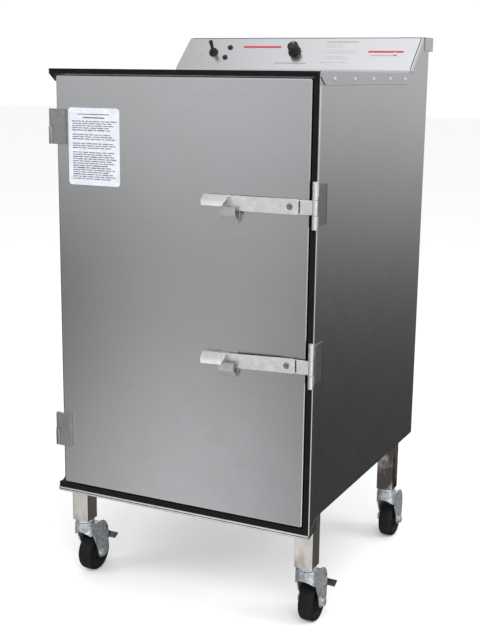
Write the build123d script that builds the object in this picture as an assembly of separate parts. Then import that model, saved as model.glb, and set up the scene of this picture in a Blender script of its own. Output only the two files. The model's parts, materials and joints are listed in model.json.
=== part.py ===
from build123d import *
import math
import os

os.makedirs("parts", exist_ok=True)

# Insulated heated cabinet on casters. Millimetres, +Z up, door towards -Y.
# Inside this script x = 0 is the cabinet's centre plane, y = 0 the door's front face and z = 0 the floor.
# save() then moves every piece by ORIGIN_SHIFT, so the row's origin is the centre of the footprint.

# ---- driving dimensions -------------------------------------------------------------------------------
width = 610.0
depth = 675.0
roof_z = 1152.0
body_z = 258.0
sheet = 1.5
wall = 50.0
half_w = width / 2

door_half_w = 289.4
door_z0, door_z1 = 245.0, 1139.0
door_pan_y, door_fold = 34.0, 4.0
gasket_y1 = 39.5
frame_y0 = 39.8
frame_y1 = frame_y0 + sheet
plug_half_w, plug_inset_z, plug_y = 250.0, 5.0, 44.0

cavity_half_w = half_w - wall
cavity_z0, cavity_z1 = body_z + wall, roof_z - wall
cavity_y1 = depth - wall
liner = 1.2

flange_drop, flange_end_y, flange_nose, roof_step = 26.0, 518.0, 10.0, 0.5
trim_y0, trim_cap = 0.5, 3.0
sill_z, sill_lip = 231.0, 9.0

console_y0, console_rise0 = 541.0, 5.0
console_y1, console_rise1 = 620.0, 80.0
cap_y0, cap_y1, cap_drop = 640.0, 703.0, 30.0

hinge_x, hinge_y = -300.0, -2.0
hinge_r, hinge_bore = 5.0, 2.06
hinge_levels = [(997.0, 1070.0), (332.0, 407.0)]

latch_x, latch_y = half_w - 1.0, -8.0
latch_levels = {"upper": 898.5, "lower": 584.5}
strap_droop = {"upper": 0.0, "lower": 2.0}
knuckle_r, latch_pin_r, fit = 5.5, 2.5, 0.06
knuckle_half, bracket_half, leaf_half, bracket_rise = 14.7, 46.0, 40.0, 4.0
rivet_x = 253.0
strap_x0, strap_x1, strap_half = 118.0, 271.0, 15.0
handle_x0, handle_reach = 66.0, 32.0

leg_side, leg_wall = 40.0, 2.0
leg_x = 277.8
leg_ys = {"front": 61.3, "rear": 577.2}
leg_z0 = 137.0
wheel_r, wheel_half_w, axle_r = 44.5, 16.0, 6.0
trail, stem_r = 34.0, 6.0
fork_top, fork_crown, fork_crown_t, fork_inner, fork_sheet = 130.7, 120.0, 4.0, 21.0, 2.5
pedal_y, pedal_z, pedal_pin_r, tab_reach = 52.0, 102.0, 3.0, 40.0

ledge_zs = [400.0, 510.0, 620.0, 730.0, 840.0, 950.0]
shelf_levels = {"lower": 510.0, "middle": 730.0, "upper": 950.0}
ledge_y0, ledge_y1 = 70.0, 600.0

left_reach, right_reach = half_w + 3.5, leg_x + tab_reach
ORIGIN_SHIFT = (-(right_reach - left_reach) / 2, -(cap_y1 - handle_reach) / 2, 0)


# ---- helpers ------------------------------------------------------------------------------------------
def block(x0, x1, y0, y1, z0, z1):
    return Pos((x0 + x1) / 2, (y0 + y1) / 2, (z0 + z1) / 2) * Box(x1 - x0, y1 - y0, z1 - z0)


def rod_x(x0, x1, y, z, r):
    return Pos((x0 + x1) / 2, y, z) * Rot(0, 90, 0) * Cylinder(r, x1 - x0)


def rod_y(x, y0, y1, z, r):
    return Pos(x, (y0 + y1) / 2, z) * Rot(90, 0, 0) * Cylinder(r, y1 - y0)


def rod_z(x, y, z0, z1, r):
    return Pos(x, y, (z0 + z1) / 2) * Cylinder(r, z1 - z0)


def profile_yz(points, x0, x1):
    """A flat outline in the Y-Z plane, given as (y, z) points, as thick as from x0 to x1."""
    face = Plane.YZ * make_face(Polyline(*points, close=True))
    return Pos(x0, 0, 0) * extrude(face, amount=x1 - x0)


def group(shapes):
    return Compound([solid for shape in shapes for solid in shape.solids()])


def mirrored(shape):
    return mirror(shape, about=Plane.YZ)


def save(name, shape):
    solids = [Pos(*ORIGIN_SHIFT) * solid for solid in shape.solids()]
    export_step(solids[0] if len(solids) == 1 else Compound(solids), os.path.join("parts", name + ".step"))


# ---- cabinet shell ------------------------------------------------------------------------------------
def side_outline():
    """The side sheet behind the door, with the horn that closes the console's end."""
    under_fascia = 2.2
    return [
        (frame_y0, body_z),
        (depth, body_z),
        (depth, roof_z + console_rise1 - sheet),
        (console_y1 + 2, roof_z + console_rise1 - sheet),
        (console_y1, roof_z + console_rise1 - under_fascia),
        (console_y0, roof_z + console_rise0 - under_fascia),
        (console_y0, roof_z - sheet),
    ]


def left_side_panel():
    outline = side_outline() + [(frame_y0, roof_z - sheet)]
    return profile_yz(outline, -half_w, -half_w + sheet)


def right_side_panel():
    """The latch side: its sheet runs forward to the door's face."""
    outline = side_outline() + [(0, roof_z - sheet), (0, sill_z)]
    return profile_yz(outline, half_w - sheet, half_w)


def rear_panel():
    inner = half_w - sheet
    return block(-inner, inner, depth - sheet, depth, body_z, roof_z - sheet)


def roof_panel():
    """The top sheet, stepped down under the console, with side flanges that end on a slant."""
    z0 = roof_z - sheet
    inner = half_w - sheet
    top = block(-half_w, half_w, trim_cap, console_y0, z0, roof_z)
    top += block(-inner, inner, console_y0, depth - sheet, z0, roof_z - roof_step)
    outline = [
        (0, roof_z),
        (0, roof_z - flange_nose),
        (22, roof_z - flange_drop),
        (flange_end_y, roof_z - flange_drop),
        (flange_end_y, roof_z),
    ]
    flange = profile_yz(outline, half_w, half_w + sheet)
    return top + flange + mirrored(flange)


def bottom_panel():
    inner = half_w - sheet
    plate = block(-inner, inner, frame_y1, depth - sheet, body_z, body_z + sheet)
    return plate - drain_hole()


def front_frame():
    inner = half_w - sheet
    plate = block(-inner, inner, frame_y0, frame_y1, body_z, roof_z - sheet)
    return plate - block(-cavity_half_w, cavity_half_w, 0, depth, cavity_z0, cavity_z1)


def sill():
    """A ledge under the door with a front lip, its ends cut on a slant."""
    inner = half_w - sheet
    ledge = block(-inner, inner, 0, frame_y1, sill_z - sheet, sill_z)
    back = block(-inner, inner, frame_y0, frame_y1, sill_z - sheet, body_z)
    lip = block(-inner, inner, 0, sheet, sill_z - sill_lip, sill_z)
    under = sill_z - sheet
    cheek = [
        (0, sill_z),
        (0, sill_z - sill_lip),
        (30, under),
        (frame_y1, under),
        (frame_y1, body_z),
        (frame_y0, body_z),
    ]
    gusset = profile_yz(cheek, inner, half_w)
    return ledge + back + lip + gusset + mirrored(gusset)


def frame_seal():
    """Black trim in the gap round the door: along the latch side, the bottom and the visor's front edge."""
    y0, y1 = trim_y0, frame_y0
    x0, x1 = 291.8, half_w - sheet
    right = block(x0, x1, y0, y1, sill_z, roof_z - sheet)
    top = block(-x1, x1, y0, y1, door_z1 + 2.5, roof_z - sheet)
    cap = block(-half_w, half_w, y0, trim_cap, roof_z - sheet, roof_z)
    bottom = block(-x1, x1, y0, y1, sill_z, door_z0 - 2.5)
    return right + top + cap + bottom


def inner_liner():
    w, z0, z1 = cavity_half_w, cavity_z0, cavity_z1
    outer = block(-w - liner, w + liner, frame_y1, cavity_y1 + liner, z0 - liner, z1 + liner)
    return outer - block(-w, w, 0, cavity_y1, z0, z1) - drain_hole()


def wall_insulation():
    """Five separate slabs of mineral wool, 0.3 mm clear of the sheets round them."""
    gap = 0.3
    x_in, x_out = cavity_half_w + liner + gap, half_w - sheet - gap
    y0, y1 = frame_y1 + gap, depth - sheet - gap
    z0, z1 = body_z + sheet + gap, roof_z - sheet - gap
    y_liner = cavity_y1 + liner + gap
    side = block(x_in, x_out, y0, y1, z0, z1)
    top = block(-x_in + gap, x_in - gap, y0, y_liner - gap, cavity_z1 + liner + gap, z1)
    bottom = block(-x_in + gap, x_in - gap, y0, y_liner - gap, z0, cavity_z0 - liner - gap)
    rear = block(-x_in + gap, x_in - gap, y_liner, y1, z0, z1)
    bottom -= rod_z(0, drain_y, z0 - 1, cavity_z0, drain_r + gap)
    return group([side, mirrored(side), top, bottom, rear])


def roof_rivets():
    heads = []
    for y in (69, 178, 288, 396, 498):
        head = rod_x(half_w + sheet, half_w + 3.5, y, roof_z - 14, 4)
        head = fillet(head.edges().filter_by(GeomType.CIRCLE).sort_by(Axis.X)[-1], 1.2)
        heads += [head, mirrored(head)]
    return group(heads)


# ---- inside the cavity --------------------------------------------------------------------------------
drain_y, drain_r, drain_bore = 330.0, 10.5, 8.5
spigot_r, spigot_z1 = 12.0, 256.0
drain_end_z = 236.0


def drain_hole():
    return rod_z(0, drain_y, body_z - 10, cavity_z0 + 10, drain_r)


def drain_tube():
    tube = rod_z(0, drain_y, drain_end_z, cavity_z0, drain_r)
    tube += rod_z(0, drain_y, drain_end_z, spigot_z1, spigot_r)
    return tube - rod_z(0, drain_y, drain_end_z - 1, cavity_z0 + 1, drain_bore)


def rack_support():
    """The right rack: two uprights on the liner wall and a row of ledges."""
    x1 = cavity_half_w
    rack = block(x1 - 3, x1, 120, 140, 370, 1000)
    rack += block(x1 - 3, x1, 520, 540, 370, 1000)
    for z in ledge_zs:
        rack += block(x1 - 18, x1, ledge_y0, ledge_y1, z - 1.5, z)
        rack += block(x1 - 1.5, x1, ledge_y0, ledge_y1, z - 1.5, z + 12)
    return rack


def wire_shelf(z):
    """A border rod, two stiffeners and close wires from front to back."""
    border, wire = 3.0, 1.6
    x1, y0, y1 = 248.0, 76.0, 594.0
    zc = z + border + 0.2
    path = FilletPolyline((-x1, y0), (x1, y0), (x1, y1), (-x1, y1), radius=12, close=True)
    start = Plane(origin=(0, y0, 0), z_dir=(1, 0, 0))
    shelf = Pos(0, 0, zc) * sweep(start * Circle(border), path=path)
    for y in (y0 + 170, y0 + 345):
        shelf += rod_x(-x1, x1, y, zc, 2.4)
    for i in range(17):
        x = -224 + 28 * i
        shelf += rod_y(x, y0, y1, zc + border, wire)
    return shelf


def heating_element():
    z, r = 332.0, 4.0
    back = cavity_y1 - 3
    path = FilletPolyline(
        (-150, back), (-150, 190), (-60, 190), (-60, 520), (60, 520), (60, 190), (150, 190), (150, back),
        radius=40,
    )
    start = Plane(origin=(-150, back, 0), z_dir=(0, -1, 0))
    tube = Pos(0, 0, z) * sweep(start * Circle(r), path=path)
    return tube + block(-180, 180, back, cavity_y1, z - 18, z + 18)


def water_pan():
    """A shallow pan that hangs by its rims on the lowest ledges."""
    z, d, t = ledge_zs[0] + 0.2, 48.0, 1.2
    y0, y1 = 90.0, 390.0
    pan = block(-232, 232, y0, y1, z - d, z)
    rim = block(-249, 249, y0 - 12, y1 + 12, z, z + t)
    inside = block(-232 + t, 232 - t, y0 + t, y1 - t, z - d + t, z + 10)
    return pan + rim - inside


def thermostat_bulb():
    z, y = 1000.0, 608.0
    bulb = rod_x(-60, 60, y, z, 4)
    for x in (-45, 45):
        bulb += block(x - 4, x + 4, y, cavity_y1, z - 5, z + 5)
    return bulb


# ---- control console ----------------------------------------------------------------------------------
slope_y, slope_z = console_y1 - console_y0, console_rise1 - console_rise0
slope_len = math.hypot(slope_y, slope_z)
fascia_plane = Plane(
    origin=(0, console_y0, roof_z + console_rise0),
    x_dir=(1, 0, 0),
    z_dir=(0, -slope_z / slope_len, slope_y / slope_len),
)
switch_at, knob_at = (-221, 57), (-2, 61)
lamps_at = [(-181, 75), (-183, 40)]
fascia_screws_at = [(-253, 54), (253, 54)]
pivot_rise, ball_r, lever_tilt = 5.0, 7.0, 14.0


def on_fascia(x, v, shape):
    return fascia_plane.location * Pos(x, v, 0) * shape


def upright(r, z0, z1):
    return Pos(0, 0, (z0 + z1) / 2) * Cylinder(r, z1 - z0)


def control_fascia():
    """The sloped panel, with a foot on the roof, a return down each end and holes for the controls."""
    plate = Pos(0, slope_len / 2, -sheet / 2) * Box(width, slope_len, sheet)
    for side in (-1, 1):
        strip = Box(sheet, slope_len, 10)
        plate += Pos(side * (half_w + sheet / 2), slope_len / 2, -5) * strip
    panel = fascia_plane.location * plate
    inner = half_w - sheet
    panel += block(-inner, inner, console_y0, console_y0 + sheet, roof_z - roof_step, roof_z + console_rise0)
    panel -= on_fascia(*switch_at, upright(7.1, -9, 9))
    panel -= on_fascia(*knob_at, upright(5, -9, 9))
    for place in lamps_at:
        panel -= on_fascia(*place, upright(5.1, -9, 9))
    return panel


def control_housing():
    inner = half_w - sheet
    top = block(-inner, inner, console_y1 + 3, depth, roof_z + console_rise1 - sheet, roof_z + console_rise1)
    back = block(-inner, inner, depth - sheet, depth, roof_z - sheet, roof_z + console_rise1)
    return top + back - rod_y(-200, depth - 9, depth + 9, roof_z + 32, gland_thread)


def housing_rear_cap():
    z0, z1 = roof_z + console_rise1 - cap_drop, roof_z + console_rise1 + sheet
    outer = block(-half_w - sheet, half_w + sheet, cap_y0, cap_y1, z0, z1)
    return outer - block(-half_w, half_w, 0, cap_y1 - sheet, z0 - 1, z1 - sheet)


def fascia_screws():
    heads = []
    for place in fascia_screws_at:
        heads.append(on_fascia(*place, upright(4, 0, 2)))
    side = rod_x(half_w, half_w + 2, 572, roof_z + 3, 4)
    return group(heads + [side, mirrored(side)])


def thermostat_body():
    body = Pos(0, 0, -19) * Box(44, 44, 34) + upright(4.5, -2, 0)
    shaft = upright(3, 0, 14)
    return on_fascia(*knob_at, body + shaft)


def thermostat_knob():
    """A fluted knob with a pointer rib, bored for the thermostat's shaft."""
    knob = upright(14, 1.2, 22)
    knob = fillet(knob.edges().filter_by(GeomType.CIRCLE).sort_by(Axis.Z)[-1], 1.5)
    for i in range(16):
        knob -= Rot(0, 0, 22.5 * i) * Pos(14.8, 0, 13) * Cylinder(1.5, 18)
    knob += upright(16, 1.2, 3.6)
    knob += Pos(0, 7, 22.2) * Box(2.4, 12, 1.2)
    knob -= upright(3 + fit, 0, 14.5)
    return on_fascia(*knob_at, knob)


def switch_body():
    """The switch behind the panel and the round boot that holds the lever's ball."""
    body = Pos(0, 0, -17) * Box(16, 28, 25) + upright(7, -4.5, 0)
    body += Pos(0, 0, 3.5) * Cone(12, 9.5, 7)
    body -= Pos(0, 0, pivot_rise) * Sphere(ball_r + 0.3)
    return on_fascia(*switch_at, body)


def toggle_lever():
    """A bat lever that rocks on a ball in its boot, up at rest."""
    lever = Sphere(ball_r) + Pos(0, 0, 15) * Cone(3.4, 4.2, 22) + Pos(0, 0, 26) * Sphere(4.2)
    tilted = Pos(0, 0, pivot_rise) * Rot(-lever_tilt, 0, 0) * lever
    return on_fascia(*switch_at, tilted)


def lamp_bezels():
    rings = []
    for place in lamps_at:
        ring = upright(6.5, 0, 3) + upright(5, -16, 0) - upright(4, -14, 4)
        rings.append(on_fascia(*place, ring))
    return group(rings)


def lamp_lenses():
    lenses = []
    for place in lamps_at:
        lens = upright(3.9, -13, 3) + Pos(0, 0, 3) * Sphere(3.9)
        lenses.append(on_fascia(*place, lens))
    return group(lenses)


def terminal_block():
    """Six screw terminals on the console's rear wall."""
    y1, z = depth - sheet, roof_z + 32
    base = block(60, 160, y1 - 22, y1, z - 14, z + 14)
    for i in range(6):
        base += rod_y(70 + 16 * i, y1 - 26, y1 - 22, z, 4)
    return base


gland_thread, gland_bore, gland_face_y = 10.0, 5.0, 688.0


def power_inlet():
    """A cable gland through the console's rear wall."""
    x, z = -200.0, roof_z + 32
    body = rod_y(x, depth - 14, depth, z, gland_thread)
    body += rod_y(x, depth, gland_face_y - 4, z, 15)
    body += rod_y(x, gland_face_y - 4, gland_face_y, z, 11)
    body += rod_y(x, depth - 8, depth - sheet, z, 14)
    return body - rod_y(x, depth - 20, depth + 30, z, gland_bore)


# ---- door ---------------------------------------------------------------------------------------------
def door_outer_panel():
    w = door_half_w
    pan = block(-w, w, 0, door_pan_y, door_z0, door_z1)
    pan = fillet(pan.edges().filter_by(Axis.Y), 5)
    pan = fillet(pan.faces().sort_by(Axis.Y)[0].edges(), door_fold)
    hollow = block(-w + sheet, w - sheet, sheet, door_pan_y + 1, door_z0 + sheet, door_z1 - sheet)
    hollow = fillet(hollow.edges().filter_by(Axis.Y), 5 - sheet)
    return pan - fillet(hollow.faces().sort_by(Axis.Y)[0].edges(), door_fold - sheet)


def door_inner_panel():
    """The back of the door, pressed out as a shallow plug that enters the opening."""
    w, y0 = door_half_w, door_pan_y
    plate = block(-w, w, y0, y0 + sheet, door_z0, door_z1)
    plate = fillet(plate.edges().filter_by(Axis.Y), 5)
    z0, z1 = cavity_z0 + plug_inset_z, cavity_z1 - plug_inset_z
    plug = block(-plug_half_w, plug_half_w, y0, plug_y, z0, z1)
    plug = fillet(plug.edges().filter_by(Axis.Y), 20)
    hollow = block(-plug_half_w + 4, plug_half_w - 4, y0 - 1, plug_y - sheet, z0 + 4, z1 - 4)
    hollow = fillet(hollow.edges().filter_by(Axis.Y), 17)
    return plate + plug - hollow


def door_insulation():
    gap = 1.4
    w = door_half_w - sheet - gap
    return block(-w, w, sheet + gap, door_pan_y - gap, door_z0 + sheet + gap, door_z1 - sheet - gap)


def door_gasket():
    y0 = door_pan_y + sheet
    outer = block(-286, 286, y0, gasket_y1, door_z0 + 3, door_z1 - 3)
    inner = block(-270, 270, 0, 99, door_z0 + 19, door_z1 - 19)
    return fillet(outer.edges().filter_by(Axis.Y), 12) - inner


def hinge_door_leaves():
    leaves = []
    for z0, z1 in hinge_levels:
        middle = (z0 + z1) / 2
        leaf = block(-294, -265, -7, 0, z0, z1) - block(-292, -267, -5, 0, z0 + 2, z1 - 2)
        leaf += block(-300, -292, -7, -1, middle + 1, z1)
        leaf += rod_z(hinge_x, hinge_y, middle + 1, z1, hinge_r)
        leaf -= rod_z(hinge_x, hinge_y, z0 - 1, z1 + 1, hinge_bore)
        leaves.append(leaf)
    return group(leaves)


def hinge_cabinet_leaves():
    """Lift-off hinges: the lower knuckle carries the pin that the door's knuckle sits on."""
    leaves = []
    for z0, z1 in hinge_levels:
        middle = (z0 + z1) / 2
        leaf = block(-half_w - sheet, -half_w, -4, 80, z0, middle)
        leaf += block(-half_w - sheet, hinge_x, -4, 0, z0, middle - 0.5)
        leaf += rod_z(hinge_x, hinge_y, z0, middle - 0.5, hinge_r)
        leaf += rod_z(hinge_x, hinge_y, z0, z1 - 2, hinge_bore - fit)
        leaves.append(leaf)
    return group(leaves)


def door_label():
    plate = block(-259, -134, -0.6, 0, 914, 1073)
    return fillet(plate.edges().filter_by(Axis.Y), 7)


def keeper(z):
    """An upward hook riveted to the door: the strap drops in behind its lip."""
    outline = [
        (0, z + 14), (-2, z + 14), (-2, z - 37), (-20, z - 22), (-22, z - 9.5),
        (-24, z - 9.5), (-22.5, z - 24), (-2, z - 43), (0, z - 43),
    ]
    hook = profile_yz(outline, 108, 142)
    for x in (117, 133):
        hook += rod_y(x, -3.4, -2, z + 5, 3.5)
    return hook


# ---- latches ------------------------------------------------------------------------------------------
def latch_bracket(z):
    """A leaf on the cabinet's side with two knuckles, the gap between them for the link."""
    middle = z + bracket_rise
    leaf = block(half_w, half_w + 2.2, latch_y, 44, middle - leaf_half, middle + leaf_half)
    bar = rod_z(latch_x, latch_y, middle - bracket_half, middle + bracket_half, knuckle_r)
    gap = block(latch_x - 9, half_w + 9, -20, 3, z - knuckle_half - 0.3, z + knuckle_half + 0.3)
    return leaf + bar - gap - rod_z(latch_x, latch_y, z - 60, z + 60, latch_pin_r)


def latch_pins():
    pins = []
    for z in latch_levels.values():
        middle = z + bracket_rise
        pins.append(rod_z(latch_x, latch_y, middle - 45, middle + 45, latch_pin_r))
    return group(pins)


def latch_link(z):
    """A knuckle on the bracket's pin, a short plate behind the strap and the strap's rivet."""
    link = rod_z(latch_x, latch_y, z - knuckle_half, z + knuckle_half, knuckle_r)
    link += block(rivet_x - 13, latch_x, -8.3, -5.8, z - 14, z + 14)
    link -= rod_z(latch_x, latch_y, z - 60, z + 60, latch_pin_r + fit)
    link += rod_y(rivet_x, -11.2, -8, z, 3)
    return link + rod_y(rivet_x, -13.2, -11.1, z, 6.5)


def latch_strap(z, droop):
    """A flat strap whose free end carries a finger plate that slopes out and down."""
    strap = block(strap_x0, strap_x1, -10.9, -8.5, -strap_half, strap_half)
    strap -= rod_y(rivet_x, -20, 0, 0, 3 + fit)
    plate = [
        (-8.5, strap_half), (-11.5, strap_half), (-handle_reach, -5),
        (-handle_reach, -7.5), (-29.5, -7.5), (-8.5, strap_half - 3.5),
    ]
    strap += profile_yz(plate, handle_x0, strap_x0 + 8)
    return Pos(rivet_x, 0, z) * Rot(0, -droop, 0) * Pos(-rivet_x, 0, 0) * strap


# ---- legs and casters ---------------------------------------------------------------------------------
def leg(x, y):
    h = leg_side / 2
    tube = block(x - h, x + h, y - h, y + h, leg_z0, body_z)
    h -= leg_wall
    return tube - block(x - h, x + h, y - h, y + h, leg_z0 - 1, body_z - 3)


def caster_stem(x, y):
    """The square plug in the leg, the swivel stem and the upper race plate."""
    h = leg_side / 2 - leg_wall
    plug = block(x - h, x + h, y - h, y + h, leg_z0, leg_z0 + 22)
    race = rod_z(x, y, fork_top + 0.3, leg_z0, 21)
    return plug + race + rod_z(x, y, fork_crown + 1, leg_z0, stem_r)


def fork_cheek(y):
    """One side of the fork, from the crown down past the axle, with a rounded shoulder."""
    crown_top = fork_crown + fork_crown_t
    outline = [
        (y, crown_top), (y, 97), (y + 4, 86), (y + 11, 72), (y + 18, 58), (y + 20.6, wheel_r),
        (y + 25, 35), (y + trail, 31), (y + 46, 32), (y + 56, 38), (y + 60, 50), (y + 62, 75),
        (y + 62, 88), (y + 60, 100), (y + 55.5, 110), (y + 48, 118), (y + 38, 123), (y + 28, crown_top),
    ]
    return profile_yz(outline, fork_inner, fork_inner + fork_sheet)


def caster_fork(x, y):
    """The swivel body: lower race, round-fronted crown, arched front band, two cheeks and the axle bolt."""
    outer = fork_inner + fork_sheet
    crown_top = fork_crown + fork_crown_t
    cheek = fork_cheek(y)
    fork = cheek + mirrored(cheek)
    fork += block(-outer, outer, y, y + 28, fork_crown, crown_top) + rod_z(0, y, fork_crown, crown_top, outer)
    band = rod_z(0, y, 97, crown_top, outer) - rod_z(0, y, 90, fork_crown, fork_inner)
    band -= block(-outer, outer, y, y + 60, 90, fork_crown)
    fork += band - rod_y(0, y - 60, y, 86, 24)
    fork += rod_z(0, y, crown_top - 1, fork_top, 23)
    fork -= rod_z(0, y, 50, 200, stem_r + fit)
    fork -= rod_x(-60, 60, y + pedal_y, pedal_z, pedal_pin_r + fit)
    fork += rod_x(-outer - 1, outer + 1, y + trail, wheel_r, axle_r)
    half_nut = 3.5
    for side in (-1, 1):
        nut = extrude(RegularPolygon(9, 6), amount=half_nut, both=True)
        fork += Pos(side * (outer + half_nut), y + trail, wheel_r) * Rot(0, 90, 0) * nut
    return Pos(x, 0, 0) * fork


def caster_wheel(x, y):
    """A solid rubber tyre on a hub that is a little longer than the tyre is wide."""
    tyre = rod_x(-wheel_half_w, wheel_half_w, 0, 0, wheel_r)
    tyre = fillet(tyre.edges().filter_by(GeomType.CIRCLE), 6)
    for side in (-1, 1):
        tyre -= rod_x(side * 16 - 3, side * 16 + 3, 0, 0, 31)
    hub = fork_inner - 0.5
    wheel = tyre + rod_x(-hub, hub, 0, 0, 12) - rod_x(-30, 30, 0, 0, axle_r + fit)
    return Pos(x, y + trail, wheel_r) * wheel


def brake_pedal(x, y):
    """A foot lever on a pin through the fork, with a tread beside the cheek on the latch side."""
    py, pz = y + pedal_y, pedal_z
    outline = [
        (py - 4, pz - 4), (py + 13, pz - 20), (py + 24, pz - 25.5),
        (py + 25.5, pz - 22), (py + 15, pz - 16.5), (py + 4, pz + 4), (py - 4, pz + 4),
    ]
    arm = profile_yz(outline, -15, 18)
    tread = [(py + 12, pz - 32), (py + 25.5, pz - 25), (py + 24.5, pz - 21.5), (py + 11, pz - 28.5)]
    arm += profile_yz(tread, 16.5, tab_reach)
    pin = fork_inner + fork_sheet + 1.5
    arm += rod_x(-pin, pin, py, pz, pedal_pin_r)
    return Pos(x, 0, 0) * arm


# ---- write every piece --------------------------------------------------------------------------------
save("left_side_panel", left_side_panel())
save("right_side_panel", right_side_panel())
save("rear_panel", rear_panel())
save("roof_panel", roof_panel())
save("bottom_panel", bottom_panel())
save("front_frame", front_frame())
save("sill", sill())
save("frame_seal", frame_seal())
save("inner_liner", inner_liner())
save("wall_insulation", wall_insulation())
save("roof_rivets", roof_rivets())

save("drain_tube", drain_tube())
save("right_rack_support", rack_support())
save("left_rack_support", mirrored(rack_support()))
for name, z in shelf_levels.items():
    save(name + "_wire_shelf", wire_shelf(z))
save("heating_element", heating_element())
save("water_pan", water_pan())
save("thermostat_bulb", thermostat_bulb())

save("control_fascia", control_fascia())
save("control_housing", control_housing())
save("housing_rear_cap", housing_rear_cap())
save("fascia_screws", fascia_screws())
save("thermostat_body", thermostat_body())
save("thermostat_knob", thermostat_knob())
save("switch_body", switch_body())
save("toggle_lever", toggle_lever())
save("lamp_bezels", lamp_bezels())
save("lamp_lenses", lamp_lenses())
save("terminal_block", terminal_block())
save("power_inlet", power_inlet())

save("door_outer_panel", door_outer_panel())
save("door_inner_panel", door_inner_panel())
save("door_insulation", door_insulation())
save("door_gasket", door_gasket())
save("door_label", door_label())
save("hinge_door_leaves", hinge_door_leaves())
save("hinge_cabinet_leaves", hinge_cabinet_leaves())

for name, z in latch_levels.items():
    save(name + "_latch_keeper", keeper(z))
    save(name + "_latch_bracket", latch_bracket(z))
    save(name + "_latch_link", latch_link(z))
    save(name + "_latch_strap", latch_strap(z, strap_droop[name]))
save("latch_pins", latch_pins())

legs, stems = [], []
for end, y in leg_ys.items():
    for side, x in (("left", -leg_x), ("right", leg_x)):
        corner = end + "_" + side
        legs.append(leg(x, y))
        stems.append(caster_stem(x, y))
        save(corner + "_fork", caster_fork(x, y))
        save(corner + "_wheel", caster_wheel(x, y))
        if end == "front":
            save(corner + "_brake_pedal", brake_pedal(x, y))
save("legs", group(legs))
save("caster_stems", group(stems))
print("origin shift", ORIGIN_SHIFT)
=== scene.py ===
import json
import math

import bmesh
import bpy
from mathutils import Matrix, Vector


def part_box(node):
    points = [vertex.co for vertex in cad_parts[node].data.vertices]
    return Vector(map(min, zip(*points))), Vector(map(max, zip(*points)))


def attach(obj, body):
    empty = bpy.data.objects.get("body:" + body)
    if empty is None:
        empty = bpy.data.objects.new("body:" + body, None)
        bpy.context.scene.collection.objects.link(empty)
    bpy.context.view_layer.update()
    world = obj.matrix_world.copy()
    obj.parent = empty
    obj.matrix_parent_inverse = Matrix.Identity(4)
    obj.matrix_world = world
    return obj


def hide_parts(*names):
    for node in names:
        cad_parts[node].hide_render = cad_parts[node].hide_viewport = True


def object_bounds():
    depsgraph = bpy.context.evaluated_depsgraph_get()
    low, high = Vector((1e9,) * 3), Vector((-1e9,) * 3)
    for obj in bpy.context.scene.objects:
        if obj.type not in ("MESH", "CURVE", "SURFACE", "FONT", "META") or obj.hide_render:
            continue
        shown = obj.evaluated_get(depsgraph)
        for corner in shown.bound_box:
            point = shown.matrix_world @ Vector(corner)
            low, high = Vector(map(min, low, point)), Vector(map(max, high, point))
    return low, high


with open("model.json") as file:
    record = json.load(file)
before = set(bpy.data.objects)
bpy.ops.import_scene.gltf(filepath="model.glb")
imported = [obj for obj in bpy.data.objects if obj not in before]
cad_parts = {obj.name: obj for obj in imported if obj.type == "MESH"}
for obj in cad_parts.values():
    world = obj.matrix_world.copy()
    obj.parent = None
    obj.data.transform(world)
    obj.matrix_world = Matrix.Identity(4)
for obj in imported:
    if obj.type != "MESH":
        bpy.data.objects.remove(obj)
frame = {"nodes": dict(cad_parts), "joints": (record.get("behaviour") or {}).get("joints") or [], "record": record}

nodes = frame["nodes"]
cad_low, cad_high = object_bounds()
door_low, door_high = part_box("door_outer_panel")
roof_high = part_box("roof_panel")[1]
side_low, side_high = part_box("right_side_panel")
door_face_y = door_low.y
roof_z = roof_high.z
centre_x = (door_low.x + door_high.x) / 2


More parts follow.
